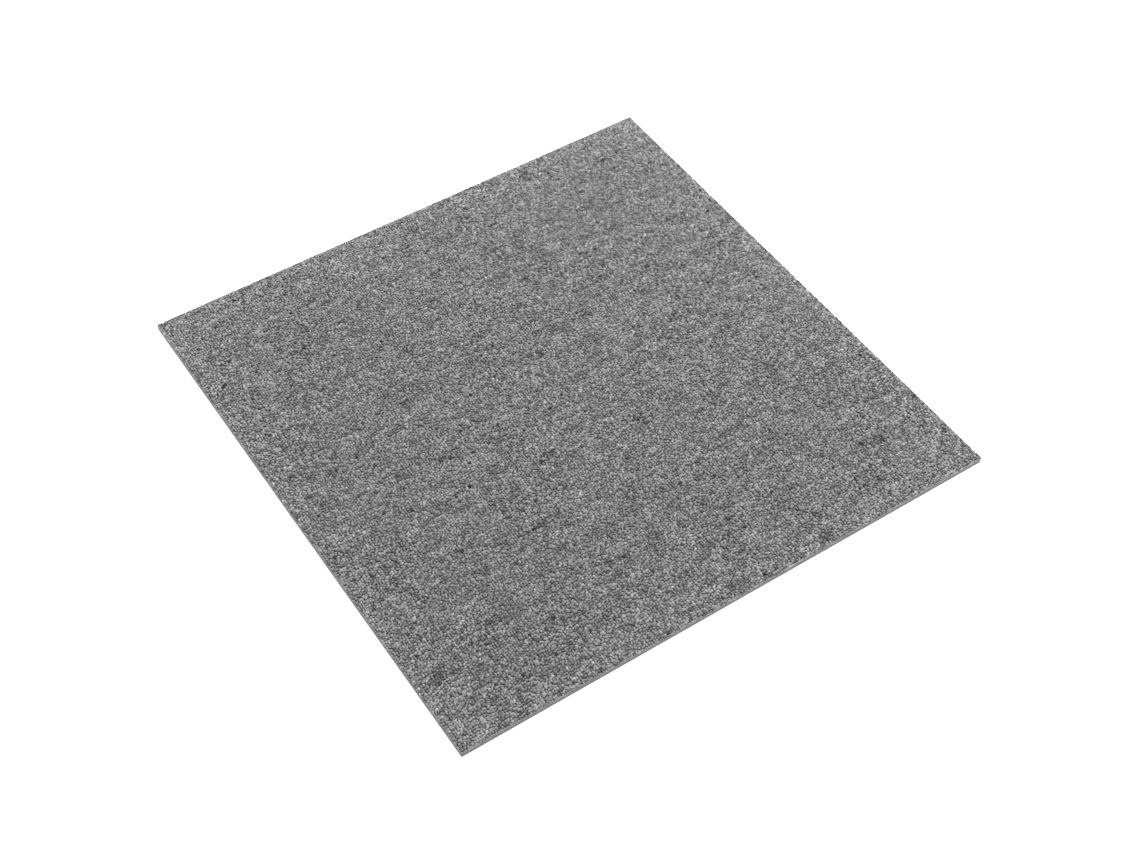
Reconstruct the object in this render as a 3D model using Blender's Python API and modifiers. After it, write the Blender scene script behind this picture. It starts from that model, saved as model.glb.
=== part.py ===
"""A square carpet tile: a tufted loop pile bonded to a heavy backing sheet.

Units are metres and +Z is up. The origin is the middle of the underside, so the tile lies on the plane Z = 0.
The rows of tufts run along Y and are stacked along X. The loops themselves are surface relief: the pile is
modelled here as the block that they fill.
"""

import bpy

COLLECTION_NAME = "carpet_tile"

# Plan of the tile: both layers are cut through together, so they share one outline
TILE_SIDE = 0.500

# Layers, from the floor up
BACKING_THICKNESS = 0.0026
BOND_CLEARANCE = 0.0003
PILE_HEIGHT = 0.0031

# The last loops along each cut lean over it, which rounds the pile's upper edges
PILE_SHOULDER_RADIUS = 0.0008
PILE_SHOULDER_SEGMENTS = 3

# Colours are linear red, green and blue
YARN_COLOUR = (0.22, 0.22, 0.22)
YARN_ROUGHNESS = 0.95
BACKING_COLOUR = (0.030, 0.030, 0.031)
BACKING_ROUGHNESS = 0.80


def clear_scene():
    """Remove every object that is already in the scene."""
    for existing in list(bpy.data.objects):
        bpy.data.objects.remove(existing, do_unlink=True)


def new_collection(name):
    """Make a collection under the scene's own and return it."""
    collection = bpy.data.collections.new(name)
    bpy.context.scene.collection.children.link(collection)
    return collection


def new_material(name, colour, roughness):
    """Make a plain, non-metallic material."""
    material = bpy.data.materials.new(name)
    material.use_nodes = True
    shader = material.node_tree.nodes["Principled BSDF"]
    shader.inputs["Base Color"].default_value = (*colour, 1.0)
    shader.inputs["Roughness"].default_value = roughness
    shader.inputs["Metallic"].default_value = 0.0
    return material


def add_layer(name, underside, thickness, material, collection):
    """Add one square layer of the tile, with its underside at the given height."""
    bpy.ops.mesh.primitive_cube_add(size=1.0, location=(0.0, 0.0, underside + thickness / 2))
    layer = bpy.context.active_object
    layer.name = name
    layer.data.name = name
    layer.scale = (TILE_SIDE, TILE_SIDE, thickness)
    bpy.ops.object.transform_apply(location=False, rotation=False, scale=True)
    layer.data.materials.append(material)
    for holder in list(layer.users_collection):
        holder.objects.unlink(layer)
    collection.objects.link(layer)
    return layer


def round_upper_edges(layer, radius, segments):
    """Round only the edges round the layer's top face, which gives it a soft shoulder."""
    mesh = layer.data
    weights = mesh.attributes.new("bevel_weight_edge", "FLOAT", "EDGE")
    for edge in mesh.edges:
        at_top = all(mesh.vertices[index].co.z > 0.0 for index in edge.vertices)
        weights.data[edge.index].value = 1.0 if at_top else 0.0
    bevel = layer.modifiers.new("Shoulder", "BEVEL")
    bevel.limit_method = "WEIGHT"
    bevel.width = radius
    bevel.segments = segments
    bevel.harden_normals = False


def make_backing(collection):
    """The heavy sheet that lies on the floor."""
    material = new_material("backing_sheet", BACKING_COLOUR, BACKING_ROUGHNESS)
    return add_layer("backing", 0.0, BACKING_THICKNESS, material, collection)


def make_tufted_pile(collection):
    """The block that the yarn loops and their carrier cloth fill, just above the backing."""
    material = new_material("loop_pile_yarn", YARN_COLOUR, YARN_ROUGHNESS)
    underside = BACKING_THICKNESS + BOND_CLEARANCE
    pile = add_layer("tufted_pile", underside, PILE_HEIGHT, material, collection)
    round_upper_edges(pile, PILE_SHOULDER_RADIUS, PILE_SHOULDER_SEGMENTS)
    return pile


def main():
    """Build the two layers of the tile."""
    clear_scene()
    collection = new_collection(COLLECTION_NAME)
    make_backing(collection)
    make_tufted_pile(collection)


main()
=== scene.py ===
"""Looks of a square loop pile carpet tile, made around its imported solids.

Units are metres and +Z is up. The tuft rows run along Y and are stacked along X. The pile is made of
separate yarn loops, each a small arch that leans and turns a little, standing in a carrier cloth. The tile
is cut through both layers, so its four sides show cut yarn above the backing sheet.
"""

import logging
import math
from dataclasses import dataclass
from enum import Enum

import bpy
import numpy as np
from mathutils import Matrix, Vector

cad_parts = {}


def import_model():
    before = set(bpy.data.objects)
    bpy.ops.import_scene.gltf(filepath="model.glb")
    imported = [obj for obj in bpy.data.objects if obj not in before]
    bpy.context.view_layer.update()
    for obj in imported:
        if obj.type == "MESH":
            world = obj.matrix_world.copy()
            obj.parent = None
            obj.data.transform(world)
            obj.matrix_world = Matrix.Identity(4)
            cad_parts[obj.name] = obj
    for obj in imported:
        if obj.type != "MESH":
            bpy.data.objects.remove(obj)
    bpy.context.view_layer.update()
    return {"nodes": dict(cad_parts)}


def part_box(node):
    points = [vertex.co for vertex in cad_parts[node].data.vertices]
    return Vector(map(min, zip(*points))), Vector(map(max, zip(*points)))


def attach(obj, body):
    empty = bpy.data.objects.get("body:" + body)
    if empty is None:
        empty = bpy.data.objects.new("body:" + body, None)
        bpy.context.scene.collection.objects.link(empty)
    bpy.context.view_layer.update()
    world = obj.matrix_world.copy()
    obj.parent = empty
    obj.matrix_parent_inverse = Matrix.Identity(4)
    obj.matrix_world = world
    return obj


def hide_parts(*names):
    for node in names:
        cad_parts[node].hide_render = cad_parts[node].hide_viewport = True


log = logging.getLogger("carpet_tile")

MILLIMETRE = 0.001
SCREEN_GAMMA = 2.2

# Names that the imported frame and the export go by
PILE_NODE = "tufted_pile"
BACKING_NODE = "backing"
BODY = "root"
BAKE_MAP = "OFBake"

# Names under which the added meshes carry what their finishes read
TONE = "yarn_tone_and_painted_light"
YARN_MAP = "yarn_place"

# A hair's gap between the backing and what stands on it, and the height of the tuft ground in the pile
BOND_GAP = 0.00003
GROUND_RISE = 0.0014

# The share that smooth_noise takes away is blurred this many times as far
HOLLOW_BLUR = 3.0


class Face(Enum):
    """How a mesh's faces are shaded."""

    FLAT = 0
    SMOOTH = 1


def build_mesh(name: str, points: np.ndarray, faces: list[np.ndarray], shading: Face) -> bpy.types.Mesh:
    """Put whole arrays of points and faces into a new mesh.

    Args:
        name: Name of the mesh.
        points: Points, one row of x, y, z each.
        faces: Arrays of point numbers, each array holding faces with the same number of corners.
        shading: Whether the faces are shaded flat or smooth.

    Returns:
        The new mesh.
    """
    corners = np.concatenate([group.ravel() for group in faces]).astype(np.int32)
    counts = np.concatenate([np.full(len(group), group.shape[1]) for group in faces])
    starts = np.concatenate([[0], np.cumsum(counts)[:-1]]).astype(np.int32)
    mesh = bpy.data.meshes.new(name)
    mesh.vertices.add(len(points))
    mesh.vertices.foreach_set("co", points.astype(np.float32).ravel())
    mesh.loops.add(len(corners))
    mesh.loops.foreach_set("vertex_index", corners)
    mesh.polygons.add(len(counts))
    mesh.polygons.foreach_set("loop_start", starts)
    mesh.polygons.foreach_set("use_smooth", np.full(len(counts), shading is Face.SMOOTH))
    mesh.update(calc_edges=True)
    return mesh


def point_values(mesh: bpy.types.Mesh, name: str, values: np.ndarray) -> None:
    """Store one number for each point of a mesh under a name that materials can read."""
    attribute = mesh.attributes.new(name, "FLOAT", "POINT")
    attribute.data.foreach_set("value", values.astype(np.float32).ravel())


def corner_map(mesh: bpy.types.Mesh, name: str, places: list[np.ndarray]) -> None:
    """Store one map place for each face corner of a mesh.

    Args:
        mesh: The mesh.
        name: Name of the map.
        places: One array for each array of faces that the mesh was built from, in the same order, with a pair
            of map coordinates for every corner.
    """
    layer = mesh.uv_layers.new(name=name)
    pairs = np.concatenate([group.reshape(-1, 2) for group in places])
    layer.uv.foreach_set("vector", pairs.astype(np.float32).ravel())


def add_piece(mesh: bpy.types.Mesh, material: bpy.types.Material) -> None:
    """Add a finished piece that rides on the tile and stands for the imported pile.

    Args:
        mesh: Its mesh, already in place, whose name it takes.
        material: Its material.
    """
    mesh.validate()
    mesh.materials.append(material)
    piece = bpy.data.objects.new(mesh.name, mesh)
    bpy.context.scene.collection.objects.link(piece)
    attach(piece, BODY)
    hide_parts(PILE_NODE)
    log.info("%s: %d points, %d faces", mesh.name, len(mesh.vertices), len(mesh.polygons))


def smooth_noise(
    shape: tuple[int, int],
    reach: tuple[float, float],
    seed: int,
    hollow: float = 0.0,
) -> np.ndarray:
    """Return a random field with soft blobs, with a mean of 0 and a spread of 1.

    White noise is multiplied in the frequency plane by the bell exp(-2 pi^2 (f_x^2 r_x^2 + f_y^2 r_y^2)),
    which blurs it over the reach r in each direction. A hollow share of the same field, blurred three times
    as far, is taken away, so that the blobs that stay are of about one size.

    Args:
        shape: Number of rows and columns.
        reach: Blur in rows and in columns.
        seed: Start of the random numbers.
        hollow: Share of the wider blur that is taken away.

    Returns:
        The field, as an array of that shape.
    """
    white = np.random.default_rng(seed).standard_normal(shape)
    across = np.fft.fftfreq(shape[0])[:, None] * reach[0]
    along = np.fft.fftfreq(shape[1])[None, :] * reach[1]
    power = -2.0 * math.pi**2 * (across**2 + along**2)
    bell = np.exp(power) - hollow * np.exp(HOLLOW_BLUR**2 * power)
    blobs = np.fft.ifft2(np.fft.fft2(white) * bell).real
    return (blobs - blobs.mean()) / blobs.std()


class Nodes:
    """A short way to add and join the shader nodes of one tree."""

    def __init__(self, tree: bpy.types.NodeTree) -> None:
        """Keep the tree to work on."""
        self.tree = tree

    def add(self, kind: str, **settings: object) -> bpy.types.Node:
        """Add a node.

        Args:
            kind: Its type.
            **settings: Its settings, by name.

        Returns:
            The node.
        """
        node = self.tree.nodes.new(kind)
        for name, value in settings.items():
            setattr(node, name, value)
        return node

    def join(self, source: bpy.types.NodeSocket, target: bpy.types.NodeSocket) -> None:
        """Link an output to an input."""
        self.tree.links.new(source, target)

    def reckon(
        self,
        operation: str,
        first: bpy.types.NodeSocket | float,
        second: bpy.types.NodeSocket | float,
    ) -> bpy.types.NodeSocket:
        """Work out one value from two.

        Args:
            operation: What is done with them, such as ADD.
            first: The first value, a socket or a number.
            second: The second value, a socket or a number.

        Returns:
            The output.
        """
        node = self.add("ShaderNodeMath", operation=operation)
        for place, value in enumerate((first, second)):
            if isinstance(value, bpy.types.NodeSocket):
                self.join(value, node.inputs[place])
            else:
                node.inputs[place].default_value = value
        return node.outputs[0]

    def stretch(
        self,
        source: bpy.types.NodeSocket,
        factors: tuple[float, float, float],
    ) -> bpy.types.NodeSocket:
        """Multiply a place by a factor along each axis.

        Args:
            source: The place.
            factors: The factors along x, y and z.

        Returns:
            The new place.
        """
        node = self.add("ShaderNodeVectorMath", operation="MULTIPLY")
        self.join(source, node.inputs[0])
        node.inputs[1].default_value = factors
        return node.outputs["Vector"]

    def shade(self, colour: tuple[float, float, float], tone: bpy.types.NodeSocket) -> bpy.types.NodeSocket:
        """Multiply a colour by a tone.

        Args:
            colour: The colour, as linear red, green and blue.
            tone: The tone.

        Returns:
            The new colour.
        """
        node = self.add("ShaderNodeVectorMath", operation="SCALE")
        node.inputs[0].default_value = colour
        self.join(tone, node.inputs["Scale"])
        return node.outputs["Vector"]

    def emboss(self, height: bpy.types.NodeSocket, depth: float, shader: bpy.types.Node) -> None:
        """Give a shader a bump.

        Args:
            height: The height, from 0 to about 1.
            depth: What a height of 1 stands for.
            shader: The shader whose normal takes the bump.
        """
        bump = self.add("ShaderNodeBump")
        bump.inputs["Distance"].default_value = depth
        self.join(height, bump.inputs["Height"])
        self.join(bump.outputs["Normal"], shader.inputs["Normal"])


@dataclass(frozen=True)
class FibreGrain:
    """The grain that every finish shares: a coarse noise for strands and a fine one for single filaments."""

    scales: tuple[float, float] = (1.0, 2.7)
    detail: float = 1.0
    roughness: float = 0.6
    darkest: float = 0.05

    def group(self) -> bpy.types.NodeTree:
        """Build the node group.

        The two noises are added up. Tone is 1 + contrast * (sum - 1), which swings about 1 and multiplies a
        colour, and Height is the sum itself, which feeds a bump.

        Returns:
            The node group, with inputs Vector and Contrast and outputs Tone and Height.
        """
        group = bpy.data.node_groups.new("fibre_grain", "ShaderNodeTree")
        face = group.interface
        face.new_socket("Vector", in_out="INPUT", socket_type="NodeSocketVector")
        face.new_socket("Contrast", in_out="INPUT", socket_type="NodeSocketFloat")
        face.new_socket("Tone", in_out="OUTPUT", socket_type="NodeSocketFloat")
        face.new_socket("Height", in_out="OUTPUT", socket_type="NodeSocketFloat")
        nodes = Nodes(group)
        given = nodes.add("NodeGroupInput")
        made = nodes.add("NodeGroupOutput")
        heights = []
        for scale in self.scales:
            noise = nodes.add("ShaderNodeTexNoise", noise_dimensions="3D")
            noise.inputs["Scale"].default_value = scale
            noise.inputs["Detail"].default_value = self.detail
            noise.inputs["Roughness"].default_value = self.roughness
            nodes.join(given.outputs["Vector"], noise.inputs["Vector"])
            heights.append(noise.outputs["Fac"])
        both = nodes.reckon("ADD", heights[0], heights[1])
        centred = nodes.reckon("SUBTRACT", both, 1.0)
        swing = nodes.reckon("MULTIPLY", centred, given.outputs["Contrast"])
        tone = nodes.reckon("ADD", swing, 1.0)
        nodes.join(nodes.reckon("MAXIMUM", tone, self.darkest), made.inputs["Tone"])
        nodes.join(both, made.inputs["Height"])
        return group


@dataclass(frozen=True)
class FibreFinish:
    """A matte fibrous finish: loops, cut yarn and cloth differ only in these values.

    The strand size is the length and the width of one strand, in millimetres on the piece's own yarn map.
    """

    name: str
    colour: tuple[float, float, float]
    strand_size: tuple[float, float]
    contrast: float
    bump_depth: float
    roughness: float = 0.88
    shine: float = 0.25

    def material(self, grain: bpy.types.NodeTree) -> bpy.types.Material:
        """Make the material: the colour times each point's tone times the fibre grain.

        Args:
            grain: The shared fibre grain group.

        Returns:
            The material.
        """
        material = bpy.data.materials.new(self.name)
        material.use_nodes = True
        nodes = Nodes(material.node_tree)
        shader = material.node_tree.nodes["Principled BSDF"]
        shader.inputs["Roughness"].default_value = self.roughness
        shader.inputs["Specular IOR Level"].default_value = self.shine
        place = nodes.add("ShaderNodeUVMap", uv_map=YARN_MAP)
        fibre = nodes.add("ShaderNodeGroup", node_tree=grain)
        length, width = self.strand_size
        strands = nodes.stretch(place.outputs["UV"], (1.0 / length, 1.0 / width, 1.0))
        nodes.join(strands, fibre.inputs["Vector"])
        fibre.inputs["Contrast"].default_value = self.contrast
        tone = nodes.add("ShaderNodeAttribute", attribute_name=TONE)
        both = nodes.reckon("MULTIPLY", tone.outputs["Fac"], fibre.outputs["Tone"])
        nodes.join(nodes.shade(self.colour, both), shader.inputs["Base Color"])
        nodes.emboss(fibre.outputs["Height"], self.bump_depth, shader)
        return material


LOOP_YARN = FibreFinish(
    name="loop_yarn",
    colour=(0.199, 0.199, 0.199),
    strand_size=(1.7, 0.45),
    contrast=1.6,
    bump_depth=0.00014,
)
CUT_YARN = FibreFinish(
    name="cut_yarn",
    colour=(0.230, 0.230, 0.230),
    strand_size=(0.9, 0.40),
    contrast=1.1,
    bump_depth=0.00014,
)
# The cloth is darker than the yarn: partly its own colour and partly painted shade between the loops
TUFT_GROUND = FibreFinish(
    name="carrier_cloth",
    colour=(0.150, 0.150, 0.150),
    strand_size=(1.2, 0.70),
    contrast=0.9,
    bump_depth=0.00012,
)


@dataclass(frozen=True)
class BackingFinish:
    """The heavy sheet under the pile: a dense filled sheet with a matte skin."""

    colour: tuple[float, float, float] = (0.145, 0.145, 0.147)
    roughness: float = 0.82
    grain_per_metre: float = 900.0
    contrast: float = 0.7
    mottle_scale: float = 60.0
    mottle_detail: float = 3.0
    mottle_swing: float = 0.5
    mottle_low: float = 0.75
    bump_depth: float = 0.00012

    def material(self, grain: bpy.types.NodeTree) -> bpy.types.Material:
        """Make the material: the colour, mottled by a coarse noise and grained by the shared group.

        Args:
            grain: The shared fibre grain group.

        Returns:
            The material.
        """
        material = bpy.data.materials.new("filled_backing")
        material.use_nodes = True
        nodes = Nodes(material.node_tree)
        shader = material.node_tree.nodes["Principled BSDF"]
        shader.inputs["Roughness"].default_value = self.roughness
        place = nodes.add("ShaderNodeTexCoord")
        fibre = nodes.add("ShaderNodeGroup", node_tree=grain)
        specks = nodes.stretch(place.outputs["Object"], (self.grain_per_metre,) * 3)
        nodes.join(specks, fibre.inputs["Vector"])
        fibre.inputs["Contrast"].default_value = self.contrast
        mottle = nodes.add("ShaderNodeTexNoise")
        mottle.inputs["Scale"].default_value = self.mottle_scale
        mottle.inputs["Detail"].default_value = self.mottle_detail
        nodes.join(place.outputs["Object"], mottle.inputs["Vector"])
        swing = nodes.reckon("MULTIPLY", mottle.outputs["Fac"], self.mottle_swing)
        cloud = nodes.reckon("ADD", swing, self.mottle_low)
        both = nodes.reckon("MULTIPLY", cloud, fibre.outputs["Tone"])
        nodes.join(nodes.shade(self.colour, both), shader.inputs["Base Color"])
        nodes.emboss(fibre.outputs["Height"], self.bump_depth, shader)
        return material


@dataclass(frozen=True)
class Arch:
    """The mesh that each loop is a changed copy of.

    Its places are shares of the loop's half length, half width and height. Four sections follow the
    yarn up, over and down. Each has a crown point and a point on either side, so the arch is three-sided,
    hollow underneath between its feet, and closed at both ends.

    On the bake map the arch fills a square of side 1. The slopes lie there in plan, and the underside and the
    two ends lie beside them.
    """

    crown_along: tuple[float, ...] = (-1.05, -0.46, 0.46, 1.05)
    crown_height: tuple[float, ...] = (0.45, 1.0, 1.0, 0.45)
    side_along: tuple[float, ...] = (-0.80, -0.36, 0.36, 0.80)
    side_across: tuple[float, ...] = (0.66, 1.0, 1.0, 0.66)
    side_height: tuple[float, ...] = (0.0, 0.52, 0.52, 0.0)
    yarn_arc: float = 1.9
    yarn_girth: float = 1.35
    slopes_centre: tuple[float, float] = (0.40, 0.50)
    slopes_reach: tuple[float, float] = (0.36, 0.45)
    under_centre: tuple[float, float] = (0.90, 0.35)
    under_reach: tuple[float, float] = (0.07, 0.30)
    end_centres: tuple[tuple[float, float], ...] = ((0.90, 0.76), (0.90, 0.88))
    end_corners: tuple[tuple[float, float], ...] = ((0.0, -0.04), (-0.06, 0.04), (0.06, 0.04))

    @property
    def points(self) -> np.ndarray:
        """The places of the points along the yarn, across it and up: crown, left side, right side."""
        across = np.array(self.side_across)
        crown = np.column_stack([self.crown_along, np.zeros(len(across)), self.crown_height])
        left = np.column_stack([self.side_along, -across, self.side_height])
        right = np.column_stack([self.side_along, across, self.side_height])
        return np.concatenate([crown, left, right])

    @property
    def faces(self) -> list[np.ndarray]:
        """The slopes, the underside and the two ends, each turned outward."""
        sections = len(self.crown_along)
        crown = np.arange(sections - 1)
        left = crown + sections
        right = left + sections
        slopes = np.concatenate([
            np.column_stack([crown, crown + 1, left + 1, left]),
            np.column_stack([right, right + 1, crown + 1, crown]),
        ])
        under = np.column_stack([left, left + 1, right + 1, right])
        last = sections - 1
        ends = np.array([
            [0, sections, 2 * sections],
            [last, last + 2 * sections, last + sections],
        ])
        return [slopes, under, ends]

    @property
    def yarn_places(self) -> np.ndarray:
        """Each point's place along and across the yarn, over its skin from the middle of the crown."""
        along, across, _ = self.points.T
        return np.column_stack([along * self.yarn_arc, across * self.yarn_girth])

    @property
    def bake_places(self) -> list[np.ndarray]:
        """Each face corner's place on the bake map, centre + reach * place, with the second end mirrored."""
        along, across, _ = self.points.T
        plan = np.array(self.slopes_centre) + np.column_stack([along, across]) * self.slopes_reach
        beside = np.array(self.under_centre) + np.column_stack([np.sign(across), along]) * self.under_reach
        slopes, under, _ = self.faces
        corners = np.array(self.end_corners)
        first_end, last_end = np.array(self.end_centres)
        ends = np.stack([first_end + corners, last_end + corners * (-1.0, 1.0)])
        return [plan[slopes], beside[under], ends]


@dataclass(frozen=True)
class TuftGrid:
    """Where the rows and the stitches of the pile lie.

    The gauge is the spacing of the rows, and the stitch is the spacing of the loops along a row. Both give a
    little, so that a row or a loop lies on each of the four cuts.
    """

    half: float
    gauge: float = 0.00254
    stitch: float = 0.002155

    @property
    def side(self) -> float:
        """The side of the square."""
        return 2.0 * self.half

    @property
    def shape(self) -> tuple[int, int]:
        """How many rows, and how many loops in each, reach from cut to cut."""
        return round(self.side / self.gauge) + 1, round(self.side / self.stitch) + 1

    @property
    def lines(self) -> tuple[np.ndarray, np.ndarray]:
        """The even places of the rows, as a column, and of the loops along them, as a line."""
        rows, loops = (np.linspace(-self.half, self.half, count) for count in self.shape)
        return rows[:, None], loops[None, :]

    def near_cut(self, reach: float) -> tuple[np.ndarray, np.ndarray]:
        """Work out exp(-(distance / reach)^2) for the distance of rows and of loops from the nearest cut.

        Args:
            reach: How far the cut is felt.

        Returns:
            The values for the rows, as a column, and for the loops along them, as a line.
        """
        rows, loops = (np.exp(-(((self.half - abs(line)) / reach) ** 2)) for line in self.lines)
        return rows, loops


@dataclass(frozen=True)
class YarnTones:
    """How bright each loop is.

    The dyed yarn changes along its own row in short runs and in longer, fainter streaks. Each loop adds a
    value of its own, and a soft mottle that is longer along the rows lies over them all. A spread is how
    strong a part is, and a run, a streak or a reach is how far it goes.
    """

    run: float = 0.0036
    run_spread: float = 0.100
    streak: float = 0.0100
    streak_spread: float = 0.084
    own_spread: float = 0.232
    own_tail: float = 0.08
    own_limit: float = 2.9
    mottle_reach: float = 0.0021
    mottle_stretch: float = 1.9
    mottle_hollow: float = 0.9
    mottle_spread: float = 0.072
    dark_share: float = 0.25
    darkest: float = 0.3
    # Painted light: the loops are painted lighter towards each cut, by up to this share
    edge_painted_light: float = 0.12
    edge_reach: float = 0.035
    seed: int = 11
    mottle_seed: int = 12

    def row_chain(self, grid: TuftGrid, run: float, draws: np.random.Generator) -> np.ndarray:
        """Return values that change slowly along each row, with a spread of 1.

        Each row is a first-order chain, value = k * last + new, with k = exp(-stitch / run). It is made in
        the frequency plane, where the chain divides white noise by |1 - k * exp(-2 pi i f)|.

        Args:
            grid: The rows and stitches.
            run: Length over which a value is kept.
            draws: Source of the random numbers.

        Returns:
            The values, by row and loop.
        """
        memory = math.exp(-grid.stitch / run)
        turns = np.exp(-2j * math.pi * np.fft.fftfreq(grid.shape[1]))
        chain = 1.0 / np.abs(1.0 - memory * turns)
        white = draws.standard_normal(grid.shape)
        values = np.fft.ifft(np.fft.fft(white, axis=1) * chain, axis=1).real
        return values / values.std()

    def own_values(self, grid: TuftGrid, draws: np.random.Generator) -> np.ndarray:
        """Return a value for each loop alone, n + tail * n^3, so that odd loops stand out.

        Args:
            grid: The rows and stitches.
            draws: Source of the random numbers.

        Returns:
            The values, by row and loop, with a spread of 1.
        """
        own = draws.standard_normal(grid.shape).clip(-self.own_limit, self.own_limit)
        own += self.own_tail * own**3
        return own / own.std()

    def mottle(self, grid: TuftGrid) -> np.ndarray:
        """Return the soft mottle, by row and loop, with a spread of 1."""
        across = self.mottle_reach / grid.gauge
        along = self.mottle_stretch * self.mottle_reach / grid.stitch
        return smooth_noise(grid.shape, (across, along), self.mottle_seed, self.mottle_hollow)

    def loop_tones(self, grid: TuftGrid) -> np.ndarray:
        """Work out the tones.

        The four parts are added up, and a share of the square of the sum is taken away, which makes dark
        loops a little commoner than bright ones. The sum s is even to the eye, so the tone is (1 + s / gamma)
        to the power of the screen's gamma. Towards each cut a painted light makes the loops lighter, by the
        edge share times exp(-(distance / reach)^2).

        Args:
            grid: The rows and stitches.

        Returns:
            The tones, by row and loop.
        """
        draws = np.random.default_rng(self.seed)
        total = self.run_spread * self.row_chain(grid, self.run, draws)
        total += self.streak_spread * self.row_chain(grid, self.streak, draws)
        total += self.own_spread * self.own_values(grid, draws)
        total += self.mottle_spread * self.mottle(grid)
        total -= self.dark_share * total**2
        shown = np.maximum(1.0 + total / SCREEN_GAMMA, self.darkest) ** SCREEN_GAMMA
        # Painted light: the tone is raised towards each cut
        rows, loops = grid.near_cut(self.edge_reach)
        return shown / shown.mean() * (1.0 + self.edge_painted_light * (rows + loops))


@dataclass(frozen=True)
class Scatter:
    """How far single loops stray from the even pattern, each as the spread of a random draw.

    The draws for height and size are clipped, so that no loop stands proud or shrinks to a sliver. The yarn
    patch is the side, in millimetres, of the patch of yarn that a loop's fibres are taken from.
    """

    place: float = 0.00040
    height: float = 0.00022
    height_limits: tuple[float, float] = (-1.9, 1.9)
    size: float = 0.24
    size_limits: tuple[float, float] = (-1.6, 1.9)
    turn: float = math.radians(30.0)
    bend: float = 0.000125
    tilt: float = 0.06
    lean: float = 0.00022
    yarn_patch: float = 50.0
    seed: int = 7


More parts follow.
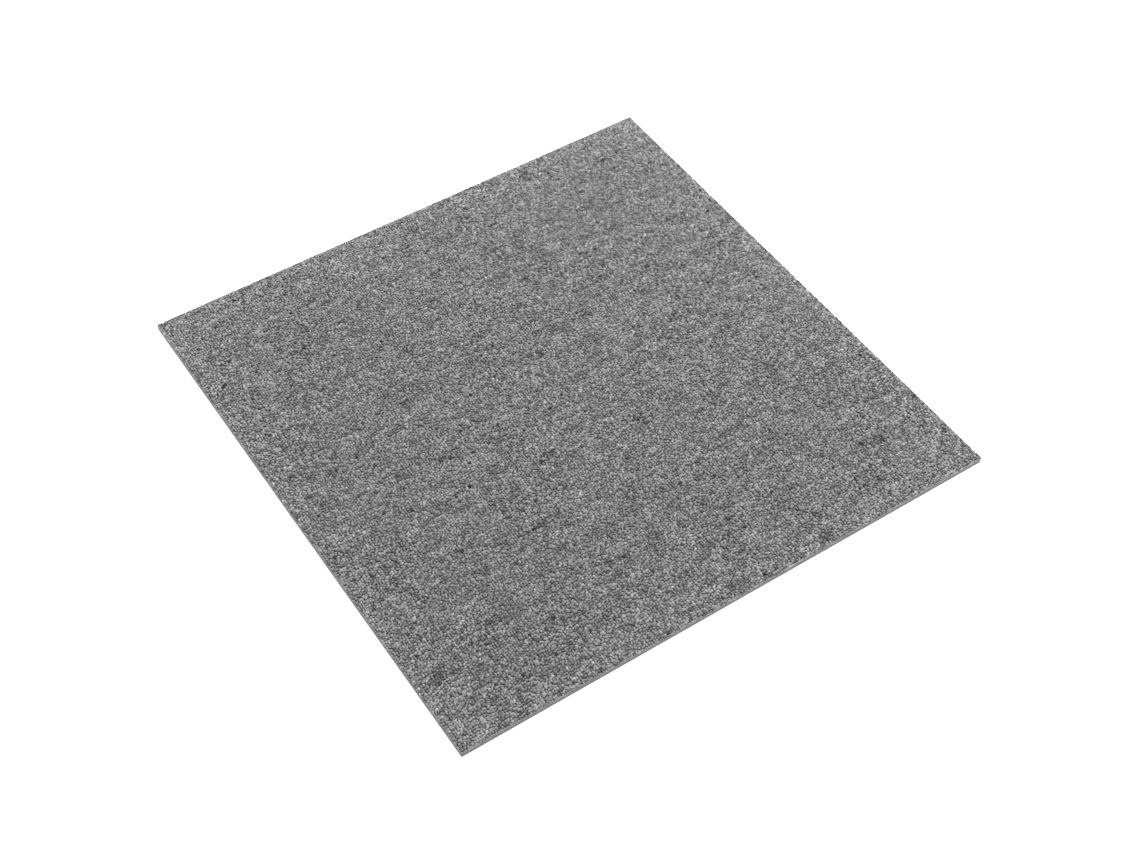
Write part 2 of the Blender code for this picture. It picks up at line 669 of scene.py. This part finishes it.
@dataclass(frozen=True)
class LoopPile:
    """The rows of yarn loops that make the tile's face.

    Every second loop of a row steps sideways and stays a little lower, as the needle bar's shift leaves it.
    The knife cuts the outermost rows, and the first and last loops of each row, through the middle. Cut calm
    is the share of their scatter that cut loops lose, and cut play the share of its way past the cut that a
    point keeps.
    """

    grid: TuftGrid
    ground: float
    top: float
    arch: Arch = Arch()
    scatter: Scatter = Scatter()
    tones: YarnTones = YarnTones()
    strips: int = 5
    half_length: float = 0.00150
    half_width: float = 0.00128
    sidestep: float = 0.00020
    pair_shift: float = 0.00006
    low_loop_drop: float = 0.00010
    settle: float = 0.00020
    lay_angle: float = math.radians(-55.0)
    bend: float = 0.00025
    cut_calm: float = 0.65
    cut_play: float = 0.10

    def sizes(self, size: float, draws: np.random.Generator) -> np.ndarray:
        """Draw one size for every loop, size * (1 + scatter * n) with n clipped.

        Args:
            size: The middle size.
            draws: Source of the random numbers.

        Returns:
            The sizes, by row and loop.
        """
        stray = draws.standard_normal(self.grid.shape).clip(*self.scatter.size_limits)
        return size * (1.0 + self.scatter.size * stray)

    def loops(self) -> dict[str, np.ndarray]:
        """Work out each loop's place, size, turn and tone, by row and loop.

        Loops next to a cut are held more evenly, so there the scatter of place and height is only a part of
        what it is elsewhere.

        Returns:
            The values of all the loops, by name.
        """
        scatter = self.scatter
        draws = np.random.default_rng(scatter.seed)
        shape = self.grid.shape
        line_x, line_y = self.grid.lines
        loose = 1.0 - self.cut_calm * np.maximum(*self.grid.near_cut(self.grid.gauge))
        odd = np.broadcast_to(np.arange(shape[1]) % 2, shape)
        side = 1.0 - 2.0 * odd
        height = self.top - self.ground - self.settle - odd * self.low_loop_drop
        stray = draws.standard_normal(shape).clip(*scatter.height_limits)
        return {
            "x": line_x - side * self.sidestep + loose * draws.normal(0.0, scatter.place, shape),
            "y": line_y + side * self.pair_shift + loose * draws.normal(0.0, scatter.place, shape),
            "height": height + scatter.height * loose * stray,
            "length": self.sizes(self.half_length, draws),
            "width": self.sizes(self.half_width, draws),
            "turn": self.lay_angle + draws.normal(0.0, scatter.turn, shape),
            "bend": -self.bend * side + draws.normal(0.0, scatter.bend, shape),
            "tilt": draws.normal(0.0, scatter.tilt, shape),
            "lean_x": draws.normal(0.0, scatter.lean, shape),
            "lean_y": draws.normal(0.0, scatter.lean, shape),
            "tone": self.tones.loop_tones(self.grid),
            "yarn_x": draws.uniform(0.0, scatter.yarn_patch, shape),
            "yarn_y": draws.uniform(0.0, scatter.yarn_patch, shape),
        }

    def hold_in(self, place: np.ndarray) -> np.ndarray:
        """Keep only a small share of the distance past a cut, which leaves the cut loops nearly flat."""
        inside = place.clip(-self.grid.half, self.grid.half)
        return inside + self.cut_play * (place - inside)

    def strip_points(self, part: dict[str, np.ndarray]) -> np.ndarray:
        """Place the points of one strip's loops.

        An arch point (a, b, h) goes to length * a along the row and width * b + bend * a^2 across it, is
        turned about the loop's own upright axis, and moves by the lean times h^2 and up by
        height * h * (1 + tilt * a).

        Args:
            part: The strip's loops, one row each.

        Returns:
            The points, by loop and arch point.
        """
        along, across, up = self.arch.points.T
        run = part["length"] * along
        side = part["width"] * across + part["bend"] * along**2
        cos, sin = np.cos(part["turn"]), np.sin(part["turn"])
        x = part["x"] + side * cos + run * sin + part["lean_x"] * up**2
        y = part["y"] + run * cos - side * sin + part["lean_y"] * up**2
        z = self.ground + part["height"] * up * (1.0 + part["tilt"] * along)
        return np.stack([self.hold_in(x), self.hold_in(y), z], axis=-1)

    def strip_maps(self, part: dict[str, np.ndarray]) -> tuple[list[np.ndarray], list[np.ndarray]]:
        """Lay out one strip's maps.

        On the yarn map a loop spreads out from its top in millimetres, at a place of its own. On the bake map
        every loop has a square of its own, and the squares fill the map row by row.

        Args:
            part: The strip's loops, one row each.

        Returns:
            The yarn map and the bake map.
        """
        count = len(part["x"])
        scale = np.stack([part["length"], part["width"]], axis=-1) / MILLIMETRE
        shift = np.stack([part["yarn_x"], part["yarn_y"]], axis=-1)
        yarn = self.arch.yarn_places * scale + shift
        wide = math.ceil(math.sqrt(count))
        high = math.ceil(count / wide)
        number = np.arange(count)
        square = np.stack([number % wide, number // wide], axis=-1)[:, None, None]
        yarn_map = [yarn[:, group] for group in self.arch.faces]
        bake_map = [(square + group) / (wide, high) for group in self.arch.bake_places]
        return yarn_map, bake_map

    def strip(self, number: int, part: dict[str, np.ndarray], material: bpy.types.Material) -> None:
        """Build one strip of rows as a single piece.

        Args:
            number: Which strip, counted from 1 at the lowest row.
            part: The strip's loops, one row each.
            material: The yarn's material.
        """
        points = self.strip_points(part)
        size = points.shape[1]
        first = np.arange(len(points))[:, None, None] * size
        faces = [(first + group).reshape(-1, group.shape[1]) for group in self.arch.faces]
        mesh = build_mesh(f"loop_rows_{number}", points.reshape(-1, 3), faces, Face.SMOOTH)
        yarn_map, bake_map = self.strip_maps(part)
        corner_map(mesh, YARN_MAP, yarn_map)
        corner_map(mesh, BAKE_MAP, bake_map)
        point_values(mesh, TONE, np.repeat(part["tone"].ravel(), size))
        add_piece(mesh, material)

    def build(self, material: bpy.types.Material) -> None:
        """Build all the strips.

        Args:
            material: The yarn's material.
        """
        loops = self.loops()
        rows = self.grid.shape[0]
        edges = np.linspace(0, rows, self.strips + 1).round().astype(int)
        for number, (first, end) in enumerate(zip(edges[:-1], edges[1:], strict=True), start=1):
            part = {name: values[first:end].reshape(-1, 1) for name, values in loops.items()}
            self.strip(number, part, material)


@dataclass(frozen=True)
class CarrierCloth:
    """The cloth that the loops stand in, with the set yarn backstitches under it.

    Only its top shows, between the loops. It is a closed slab with a gently uneven top. On the bake map the
    top fills nearly all the square, and the walls and the underside share a tiny patch in the corner.
    """

    half: float
    bond: float
    ground: float
    cells: int = 60
    inset: float = 0.0006
    unevenness: float = 0.00012
    wave_cells: float = 0.8
    wave_limit: float = 2.0
    top_centre: float = 0.5
    top_reach: float = 0.485
    hidden_centre: float = 0.99
    hidden_reach: float = 0.005
    seed: int = 21

    def build(self, material: bpy.types.Material) -> None:
        """Build the slab.

        The top is a grid over x and y whose height is the ground plus soft noise. Its rim is carried straight
        down to the underside, which is one face.

        Args:
            material: The cloth's material.
        """
        side = self.cells + 1
        reach = self.half - self.inset
        line = np.linspace(-reach, reach, side)
        x, y = np.meshgrid(line, line, indexing="ij")
        waves = smooth_noise((side, side), (self.wave_cells, self.wave_cells), self.seed)
        z = self.ground + self.unevenness * waves.clip(-self.wave_limit, self.wave_limit)
        top = np.stack([x, y, z], axis=-1).reshape(-1, 3)
        number = np.arange(side * side).reshape(side, side)
        quads = np.stack([number[:-1, :-1], number[1:, :-1], number[1:, 1:], number[:-1, 1:]], axis=-1)
        quads = quads.reshape(-1, 4)
        rim = np.concatenate([number[:-1, 0], number[-1, :-1], number[:0:-1, -1], number[0, :0:-1]])
        foot = top[rim].copy()
        foot[:, 2] = self.bond
        lower = len(top) + np.arange(len(rim))
        walls = np.column_stack([rim, lower, np.roll(lower, -1), np.roll(rim, -1)])
        underside = lower[None, ::-1]
        points = np.concatenate([top, foot])
        faces = [quads, walls, underside]
        mesh = build_mesh("carrier_cloth", points, faces, Face.FLAT)
        plan = points[:, :2]
        corner_map(mesh, YARN_MAP, [plan[group] / MILLIMETRE for group in faces])
        shown = self.top_centre + self.top_reach * plan / reach
        hidden = self.hidden_centre + self.hidden_reach * plan / reach
        corner_map(mesh, BAKE_MAP, [shown[quads], hidden[walls], hidden[underside]])
        point_values(mesh, TONE, np.ones(len(points)))
        add_piece(mesh, material)


@dataclass(frozen=True)
class CutEdge:
    """The band of cut yarn on the tile's four sides, between the backing and the loops.

    The knife leaves each yarn as a small upright ridge, so the ridges are a gauge apart on the two sides
    that cross the rows and a stitch apart on the two sides that run along them. The cut loops stand in front
    of it. The levels are heights over the bond, and outward, swell and painted shade are the band's values at
    each. The painted shade darkens the band towards its top, under the cut loops, and on its hidden inside.
    """

    grid: TuftGrid
    bond: float
    ground: float
    step: float = 0.00106
    depth: float = 0.0010
    levels: tuple[float, ...] = (0.0, 0.0005, 0.0011, 0.0018)
    outward: tuple[float, ...] = (-0.00015, -0.00002, -0.00012, -0.00045)
    swell: tuple[float, ...] = (0.0, 0.6, 1.0, 0.8)
    # Painted shade: the band is painted darker at its upper levels, under the cut loops
    painted_shade: tuple[float, ...] = (1.0, 1.0, 0.9, 0.8)
    ridge: float = 0.00022
    ridge_range: tuple[float, float] = (0.3, 1.4)
    ragged: float = 0.00025
    tone_spread: float = 0.20
    folds: int = 16
    fold_margin: float = 0.05
    seed: int = 31

    @property
    def side_stations(self) -> int:
        """How many stations a side has: a multiple of four, so that the folds come out even."""
        return round(self.grid.side / self.step / 4) * 4

    def path(self) -> tuple[np.ndarray, np.ndarray, np.ndarray]:
        """Lay the stations round the square.

        Each side is an even run of points, and a corner's outward direction is the sum of its two sides',
        which mitres it. The swell is |cos(pi t / pitch)|, with t the distance along the side.

        Returns:
            The stations' places, their outward directions and how far each ridge swells.
        """
        half = self.grid.half
        count = self.side_stations
        along = np.linspace(-half, half, count, endpoint=False)
        reach = np.full(count, half)
        places, outs, swells = [], [], []
        sides = (
            (along, -reach, (0.0, -1.0), self.grid.gauge),
            (reach, along, (1.0, 0.0), self.grid.stitch),
            (-along, reach, (0.0, 1.0), self.grid.gauge),
            (-reach, -along, (-1.0, 0.0), self.grid.stitch),
        )
        for x, y, out, pitch in sides:
            places.append(np.column_stack([x, y]))
            outs.append(np.tile(out, (count, 1)))
            swells.append(np.abs(np.cos(math.pi * (along + half) / pitch)))
        out = np.concatenate(outs)
        corner = np.arange(len(sides)) * count
        out[corner] = out[corner] + out[corner - 1]
        return np.concatenate(places), out, np.concatenate(swells)

    def section(self) -> tuple[np.ndarray, np.ndarray]:
        """Work out the band's section at every station.

        A section has a point at each level on the outside and two on the inside. An outside point stands out
        by outward + swell * ridge * the station's own swell, and the top level is raised at random.

        Returns:
            The points and their tones, by place in the section and station.
        """
        draws = np.random.default_rng(self.seed)
        place, out, swell = self.path()
        stations = len(place)
        swell = swell * draws.uniform(*self.ridge_range, stations)
        station_tone = np.exp(draws.normal(0.0, self.tone_spread, stations))
        top = len(self.levels) - 1
        points, tones = [], []
        for level, (rise, shift, share) in enumerate(zip(self.levels, self.outward, self.swell, strict=True)):
            ragged = draws.normal(0.0, self.ragged, stations) * (level == top)
            reach = shift + share * self.ridge * swell
            points.append(np.column_stack([place + out * reach[:, None], self.bond + rise + ragged]))
            # Painted shade: each level's tone is darkened by its painted shade factor
            tones.append(self.painted_shade[level] * station_tone)
        inner = place - out * self.depth
        for height in (self.ground, self.bond):
            points.append(np.column_stack([inner, np.full(stations, height)]))
            # Painted shade: the hidden inside is painted as dark as the top level
            tones.append(self.painted_shade[top] * station_tone)
        return np.stack(points), np.stack(tones)

    def build(self, material: bpy.types.Material) -> None:
        """Build the band as one closed ring.

        On the yarn map it lies flat, with its height along the strands and the inside's three faces above it.
        On the bake map it is folded into runs of equal length that fill the map row by row.

        Args:
            material: The cut yarn's material.
        """
        points, tones = self.section()
        around, stations = tones.shape
        number = np.arange(around * stations).reshape(around, stations)
        after = np.roll(number, -1, axis=1)
        quads = np.stack([number, after, np.roll(after, -1, axis=0), np.roll(number, -1, axis=0)], axis=-1)
        mesh = build_mesh("cut_edge", points.reshape(-1, 3), [quads.reshape(-1, 4)], Face.SMOOTH)
        ring, station = np.indices((around, stations))
        up = ring[..., None] + np.array([0, 0, 1, 1])
        along = station[..., None] + np.array([0, 1, 1, 0])
        inside = np.arange(2, 5) * self.levels[-1]
        height = np.append(self.levels, inside)
        yarn = np.stack([height[up] / MILLIMETRE, along * self.step / MILLIMETRE], axis=-1)
        corner_map(mesh, YARN_MAP, [yarn])
        run = stations // self.folds
        fold = station[..., None] // run
        rise = self.fold_margin + (1.0 - 2.0 * self.fold_margin) * up / around
        bake = np.stack([(along - fold * run) / run, (fold + rise) / self.folds], axis=-1)
        corner_map(mesh, BAKE_MAP, [bake])
        point_values(mesh, TONE, tones)
        add_piece(mesh, material)


@dataclass(frozen=True)
class Studio:
    """The pale floor, the soft lights and the camera.

    Angles are in degrees, powers in watts, the sensor's width in millimetres, and the picture's own measures
    in pixels.
    """

    floor_side: float = 12.0
    floor_drop: float = 0.0002
    floor_colour: float = 0.95
    floor_glow: float = 0.40
    dome_strength: float = 1.02
    lamp_side: float = 1.0
    left_lamp_power: float = 16.6
    left_lamp_place: tuple[float, float, float] = (-1.06, 0.19, 1.00)
    right_lamp_power: float = 16.2
    right_lamp_place: tuple[float, float, float] = (0.22, 1.06, 1.00)
    camera_azimuth: float = 56.18
    camera_elevation: float = 50.55
    camera_roll: float = 0.66
    camera_distance: float = 1.519
    camera_target: tuple[float, float, float] = (0.0224, -0.0334, 0.0)
    camera_reach: tuple[float, float] = (0.05, 50.0)
    sensor_width: float = 36.0
    focal_pixels: float = 1828.0
    centre_shift_pixels: float = 30.9
    image_width: float = 1140.0

    def floor(self) -> None:
        """Lay a plain white floor, a fine gap below the tile, that glows a little like a light table."""
        plan = np.array([[-1, -1], [1, -1], [1, 1], [-1, 1]]) * self.floor_side / 2
        points = np.column_stack([plan, np.full(len(plan), -self.floor_drop)])
        mesh = build_mesh("floor", points, [np.arange(len(plan))[None, :]], Face.FLAT)
        material = bpy.data.materials.new("white_floor")
        material.use_nodes = True
        shader = material.node_tree.nodes["Principled BSDF"]
        shader.inputs["Base Color"].default_value = (*(self.floor_colour,) * 3, 1.0)
        shader.inputs["Emission Color"].default_value = (1.0, 1.0, 1.0, 1.0)
        shader.inputs["Emission Strength"].default_value = self.floor_glow
        shader.inputs["Roughness"].default_value = 1.0
        shader.inputs["Specular IOR Level"].default_value = 0.0
        mesh.materials.append(material)
        floor = bpy.data.objects.new("floor", mesh)
        bpy.context.scene.collection.objects.link(floor)

    def lights(self) -> None:
        """Light the tile from a white dome and two large soft lamps, on the left and on the right."""
        world = bpy.data.worlds.new("studio")
        world.use_nodes = True
        sky = world.node_tree.nodes["Background"]
        sky.inputs["Color"].default_value = (1.0, 1.0, 1.0, 1.0)
        sky.inputs["Strength"].default_value = self.dome_strength
        bpy.context.scene.world = world
        self.lamp("left_lamp", self.left_lamp_power, Vector(self.left_lamp_place))
        self.lamp("right_lamp", self.right_lamp_power, Vector(self.right_lamp_place))

    def lamp(self, name: str, power: float, place: Vector) -> None:
        """Hang one large square lamp that faces the tile.

        Args:
            name: Name of the lamp.
            power: Its power.
            place: Where it hangs.
        """
        light = bpy.data.lights.new(name, "AREA")
        light.shape = "SQUARE"
        light.size = self.lamp_side
        light.energy = power
        holder = bpy.data.objects.new(name, light)
        holder.location = place
        holder.rotation_mode = "QUATERNION"
        holder.rotation_quaternion = (-place).to_track_quat("-Z", "Y")
        bpy.context.scene.collection.objects.link(holder)

    def camera(self) -> None:
        """Set the camera where the fitted outline puts it, with its small roll and its off-centre picture."""
        azimuth = math.radians(self.camera_azimuth)
        elevation = math.radians(self.camera_elevation)
        back = Vector((
            math.sin(azimuth) * math.cos(elevation),
            -math.cos(azimuth) * math.cos(elevation),
            math.sin(elevation),
        ))
        right = Vector((math.cos(azimuth), math.sin(azimuth), 0.0))
        up = back.cross(right)
        roll = math.radians(self.camera_roll)
        tilted_right = right * math.cos(roll) + up * math.sin(roll)
        tilted_up = up * math.cos(roll) - right * math.sin(roll)
        data = bpy.data.cameras.new("camera")
        data.sensor_width = self.sensor_width
        data.lens = self.sensor_width * self.focal_pixels / self.image_width
        data.shift_x = self.centre_shift_pixels / self.image_width
        data.clip_start, data.clip_end = self.camera_reach
        camera = bpy.data.objects.new("camera", data)
        stand = Vector(self.camera_target) + back * self.camera_distance
        turn = Matrix((tilted_right, tilted_up, back)).transposed()
        camera.matrix_world = Matrix.Translation(stand) @ turn.to_4x4()
        bpy.context.scene.collection.objects.link(camera)
        bpy.context.scene.camera = camera

    def view(self) -> None:
        """Show plain colours, so that the white floor stays white."""
        settings = bpy.context.scene.view_settings
        settings.view_transform = "Standard"
        settings.look = "None"


def main() -> None:
    """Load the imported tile, set up the studio, and dress the pile and the backing."""
    logging.basicConfig(level=logging.INFO, format="%(name)s: %(message)s")
    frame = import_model()
    studio = Studio()
    studio.camera()
    studio.floor()
    studio.lights()
    studio.view()
    pile_low, pile_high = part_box(PILE_NODE)
    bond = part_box(BACKING_NODE)[1].z + BOND_GAP
    ground = pile_low.z + GROUND_RISE
    grid = TuftGrid(half=pile_high.x)
    grain = FibreGrain().group()
    CarrierCloth(grid.half, bond, ground).build(TUFT_GROUND.material(grain))
    CutEdge(grid, bond, ground).build(CUT_YARN.material(grain))
    LoopPile(grid, ground, pile_high.z).build(LOOP_YARN.material(grain))
    backing = frame["nodes"][BACKING_NODE]
    backing.data.materials.clear()
    backing.data.materials.append(BackingFinish().material(grain))
    log.info("%s: packed solid with its own finish", BACKING_NODE)


if __name__ == "__main__":
    main()
